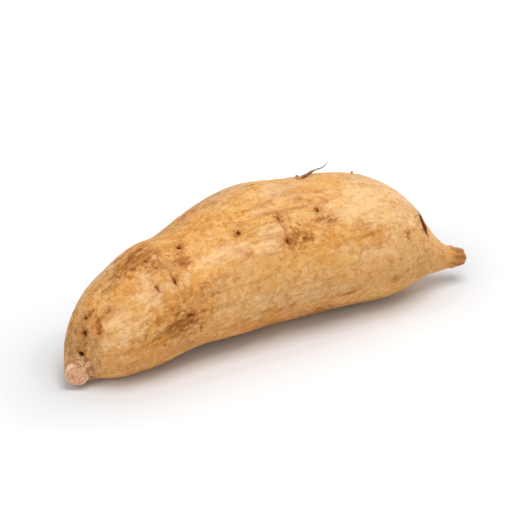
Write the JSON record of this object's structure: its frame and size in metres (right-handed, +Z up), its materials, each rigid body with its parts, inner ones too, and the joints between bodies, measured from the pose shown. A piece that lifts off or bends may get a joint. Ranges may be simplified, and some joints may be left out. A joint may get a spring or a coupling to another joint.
{
  "type": "sweet potato",
  "caption": "Whole raw sweet potato, a long swollen storage root with tan skin, lying on its side; one end broken off short, the other tapering to its stem.",
  "frame": {"origin": "on the surface that the root lies on, below the middle of its box", "axes": "+X along the root from the broken root tip to the stem end, +Z up, the root's flank with the lengthwise ridge faces -Y"},
  "size_m": [0.2, 0.066, 0.0618],
  "materials": {
    "skin": "matt, dry, thin corky skin",
    "broken_end": "dry healed flesh, fibrous",
    "rootlet": "dry fine root, matt"
  },
  "bodies": {
    "root": {"sweet_potato": "skin"}
  },
  "joints": []
}
